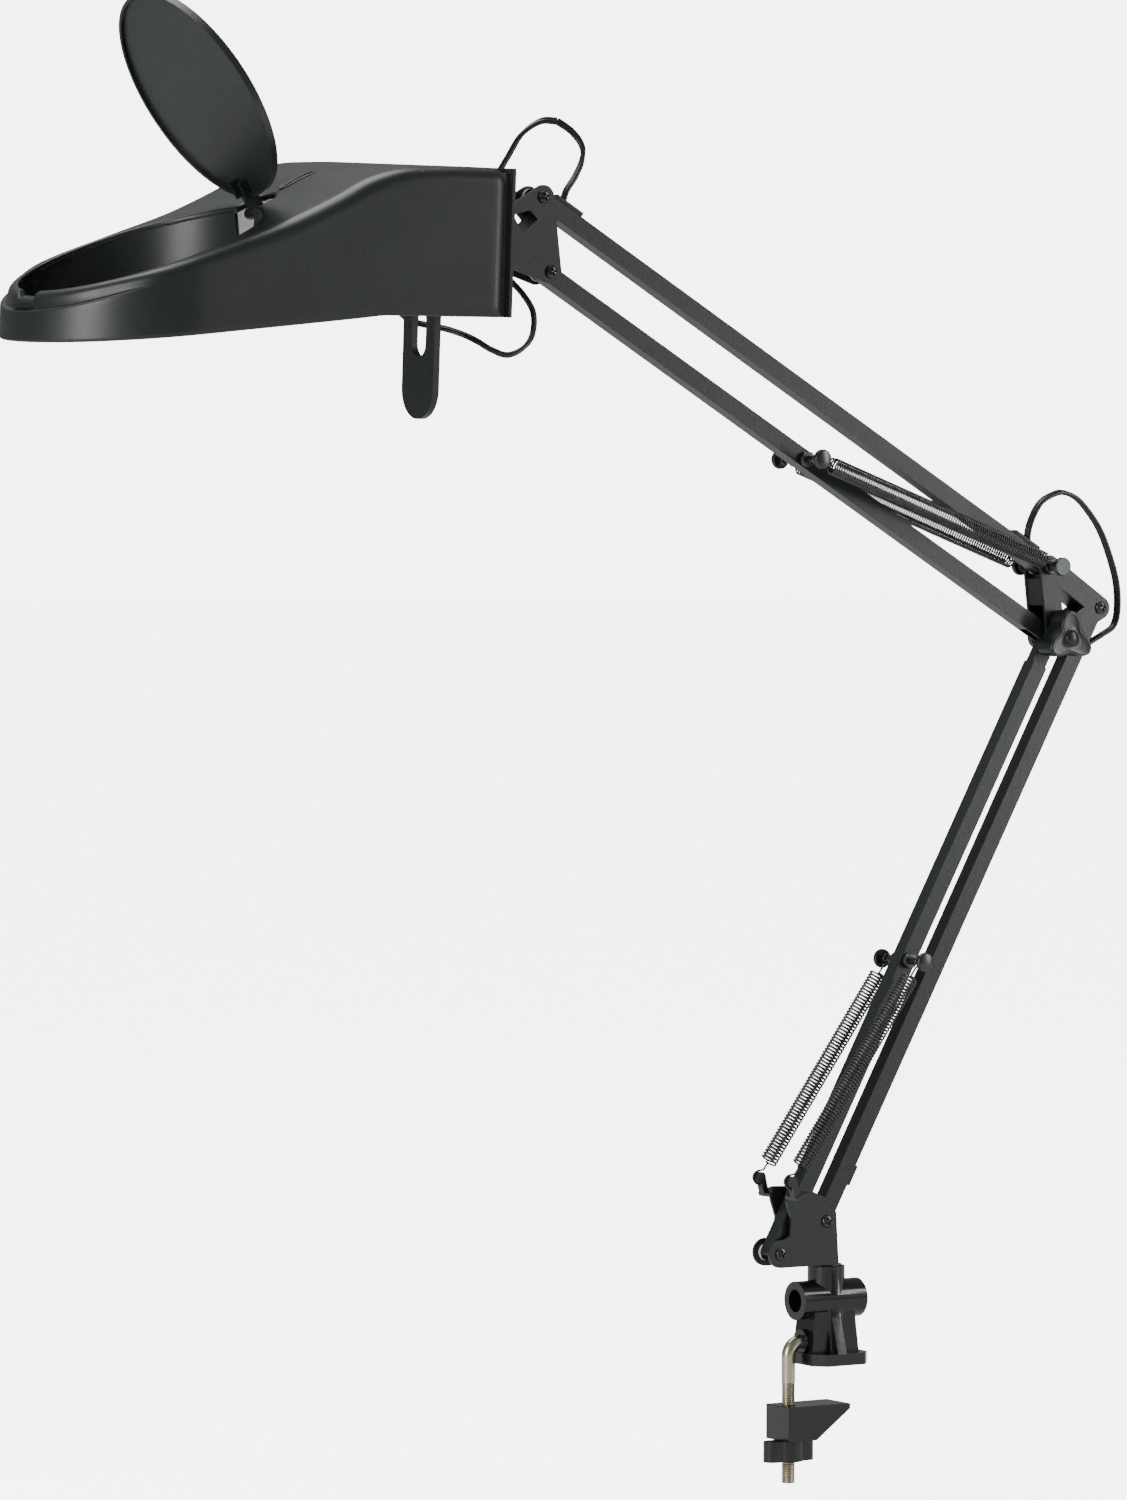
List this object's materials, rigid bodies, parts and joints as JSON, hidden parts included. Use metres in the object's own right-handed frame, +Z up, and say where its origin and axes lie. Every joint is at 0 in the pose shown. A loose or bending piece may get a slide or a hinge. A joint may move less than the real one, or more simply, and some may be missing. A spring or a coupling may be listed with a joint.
{
  "type": "magnifying lamp",
  "caption": "Clamp-on magnifying lamp: a spring-balanced parallelogram arm with a knob at the elbow holds a shaded round lens with a hinged lid and a finger handle.",
  "frame": {"origin": "centre of the clamp plate's underside, on the swivel axis", "axes": "+Z up along the swivel axis, -X towards the head, +Y to the far side of the arm"},
  "size_m": [0.7284, 0.1553, 0.8444],
  "materials": {
    "clamp_casting": "gloss black moulding",
    "zinc_steel": "yellowish zinc plate",
    "black_steel": "blackened steel",
    "arm_paint": "satin black powder coat",
    "black_nylon": "matte black nylon",
    "pale_nylon": "natural nylon",
    "knob_plastic": "satin black plastic",
    "spring_steel": "bright spring steel",
    "flex_sheath": "satin black vinyl",
    "knuckle_casting": "grey casting",
    "shade_plastic": "satin black moulding with a fine grain",
    "reflector_white": "white enamel",
    "lens_glass": "clear polished glass",
    "holder_white": "white plastic",
    "bulb_glass": "frosted glass"
  },
  "bodies": {
    "clamp": {"clamp_body": "clamp_casting", "hook_rod": "zinc_steel", "swivel_bush": "black_nylon"},
    "jaw": {"clamp_jaw": "clamp_casting"},
    "jaw_knob": {"clamp_knob": "knob_plastic", "knob_nut": "zinc_steel"},
    "base": {"base_bracket": "arm_paint", "swivel_spindle": "zinc_steel", "base_screws": "black_steel", "base_nuts": "black_steel", "base_washers": "pale_nylon"},
    "lower_front": {"lower_front_bar": "arm_paint", "lower_spring_post": "black_steel"},
    "lower_rear": {"lower_rear_bar": "arm_paint", "flex_grommet": "black_nylon", "lower_flex": "flex_sheath"},
    "lower_spring": {"lower_springs": "spring_steel"},
    "lower_spring_top": {"lower_spring_eyes": "spring_steel"},
    "elbow": {"elbow_bracket": "arm_paint", "elbow_bolts": "black_steel", "elbow_nut": "black_steel", "elbow_washers": "pale_nylon", "spring_pin": "black_steel", "elbow_steel_washer": "zinc_steel", "elbow_flex_loop": "flex_sheath"},
    "elbow_hand_knob": {"elbow_knob": "knob_plastic"},
    "upper_top": {"upper_top_bar": "arm_paint", "flex_clips": "black_nylon", "upper_flex": "flex_sheath"},
    "upper_lower": {"upper_lower_bar": "arm_paint", "upper_spring_post": "black_steel"},
    "upper_spring": {"upper_springs": "spring_steel"},
    "upper_spring_end": {"upper_spring_eyes": "spring_steel"},
    "head_bracket": {"head_bracket_near": "arm_paint", "head_bracket_far": "arm_paint", "head_screws": "black_steel", "head_nuts": "black_steel", "head_washers": "pale_nylon", "tilt_bolt": "black_steel", "head_flex_upper": "flex_sheath"},
    "tilt_hand_knob": {"tilt_knob": "knob_plastic"},
    "head_knuckle": {"knuckle": "knuckle_casting", "head_flex_middle": "flex_sheath"},
    "head": {"shade": "shade_plastic", "back_cover": "shade_plastic", "head_stem": "shade_plastic", "reflector": "reflector_white", "lens": "lens_glass", "lens_ring": "shade_plastic", "lampholder": "holder_white", "bulb": "bulb_glass", "handle": "shade_plastic", "handle_screws": "black_steel", "switch_body": "black_nylon", "head_flex_lower": "flex_sheath", "lid_pin": "zinc_steel"},
    "rocker": {"switch_rocker": "knob_plastic"},
    "lid": {"lid": "shade_plastic"}
  },
  "joints": [
    {"name": "base_swivel", "type": "hinge", "parent": "clamp", "child": "base", "pos_m": [0, 0, 0.056], "axis": [0, 0, 1], "continuous": true},
    {"name": "jaw_slide", "type": "slide", "parent": "clamp", "child": "jaw", "axis": [0, 0, 1], "range_m": [-0.008, 0.02]},
    {"name": "knob_turn", "type": "hinge", "parent": "jaw", "child": "jaw_knob", "pos_m": [-0.026, 0, -0.049], "axis": [0, 0, 1], "range_deg": [-2304, 5760]},
    {"name": "shoulder", "type": "hinge", "parent": "base", "child": "lower_rear", "pos_m": [-0.00535, 0, 0.0822], "axis": [0, 1, 0], "range_deg": [-40, 14]},
    {"name": "front_bar_pivot", "type": "hinge", "parent": "base", "child": "lower_front", "pos_m": [-0.037, 0, 0.065], "axis": [0, 1, 0], "range_deg": [-40, 14]},
    {"name": "elbow_level", "type": "hinge", "parent": "lower_rear", "child": "elbow", "pos_m": [0.18735, 0, 0.43272], "axis": [0, 1, 0], "range_deg": [-14, 40], "deforming": ["elbow_flex_loop"]},
    {"name": "elbow_pivot", "type": "hinge", "parent": "elbow", "child": "upper_top", "pos_m": [0.1509, 0, 0.45712], "axis": [0, 1, 0], "range_deg": [-40, 18]},
    {"name": "lower_bar_pivot", "type": "hinge", "parent": "elbow", "child": "upper_lower", "pos_m": [0.1557, 0, 0.41552], "axis": [0, 1, 0], "range_deg": [-40, 18]},
    {"name": "elbow_knob_turn", "type": "hinge", "parent": "elbow", "child": "elbow_hand_knob", "pos_m": [0.1557, -0.017, 0.41552], "axis": [0, 1, 0], "range_deg": [-180, 180]},
    {"name": "head_level", "type": "hinge", "parent": "upper_top", "child": "head_bracket", "pos_m": [-0.19612, 0, 0.66399], "axis": [0, 1, 0], "range_deg": [-18, 40], "deforming": ["head_flex_upper"]},
    {"name": "head_tilt", "type": "hinge", "parent": "head_bracket", "child": "head_knuckle", "pos_m": [-0.22932, 0, 0.63939], "axis": [0, 1, 0], "range_deg": [-30, 30], "deforming": ["head_flex_middle"]},
    {"name": "tilt_knob_turn", "type": "hinge", "parent": "head_bracket", "child": "tilt_hand_knob", "pos_m": [-0.22932, 0.017, 0.63939], "axis": [0, 1, 0], "range_deg": [-180, 180]},
    {"name": "head_roll", "type": "hinge", "parent": "head_knuckle", "child": "head", "pos_m": [-0.22932, 0, 0.63939], "axis": [1, 0, 0], "range_deg": [-45, 45], "deforming": ["head_flex_lower"]},
    {"name": "switch_rock", "type": "hinge", "parent": "head", "child": "rocker", "pos_m": [-0.26132, 0.04972, 0.64543], "axis": [0, 0.9981, 0.061], "range_deg": [-8, 8]},
    {"name": "lid_hinge", "type": "hinge", "parent": "head", "child": "lid", "pos_m": [-0.37382, -0.0007, 0.65087], "axis": [0, 0.9981, 0.061], "range_deg": [-78, 30]},
    {"name": "lower_spring_swing", "type": "hinge", "parent": "base", "child": "lower_spring", "pos_m": [-0.0355, 0, 0.107], "axis": [0, 1, 0], "range_deg": [-51.13, 18.22], "deforming": ["lower_springs"]},
    {"name": "lower_spring_stretch", "type": "slide", "parent": "lower_spring", "child": "lower_spring_top", "axis": [0.5873, 0, 0.8094], "range_m": [-0.00824, 0.00321], "deforming": ["lower_spring_eyes"]},
    {"name": "upper_spring_swing", "type": "hinge", "parent": "elbow", "child": "upper_spring", "pos_m": [0.1509, 0, 0.45712], "axis": [0, 1, 0], "range_deg": [-42.47, 19.39], "deforming": ["upper_springs"]},
    {"name": "upper_spring_stretch", "type": "slide", "parent": "upper_spring", "child": "upper_spring_end", "axis": [-0.9389, 0, 0.3441], "range_m": [-0.01305, 0.02839], "deforming": ["upper_spring_eyes"]}
  ],
  "couplings": [
    {"joint": "jaw_slide", "follows": "knob_turn", "m_per_rad": 0.00019894},
    {"joint": "front_bar_pivot", "follows": "shoulder", "ratio": 1},
    {"joint": "elbow_level", "follows": "shoulder", "ratio": -1},
    {"joint": "lower_bar_pivot", "follows": "elbow_pivot", "ratio": 1},
    {"joint": "head_level", "follows": "elbow_pivot", "ratio": -1},
    {"joint": "lower_spring_swing", "follows": "shoulder", "ratio": 1.2657},
    {"joint": "lower_spring_stretch", "follows": "shoulder", "m_per_rad": 0.01109},
    {"joint": "upper_spring_swing", "follows": "elbow_pivot", "ratio": 1.0493},
    {"joint": "upper_spring_stretch", "follows": "elbow_pivot", "m_per_rad": -0.03995}
  ]
}
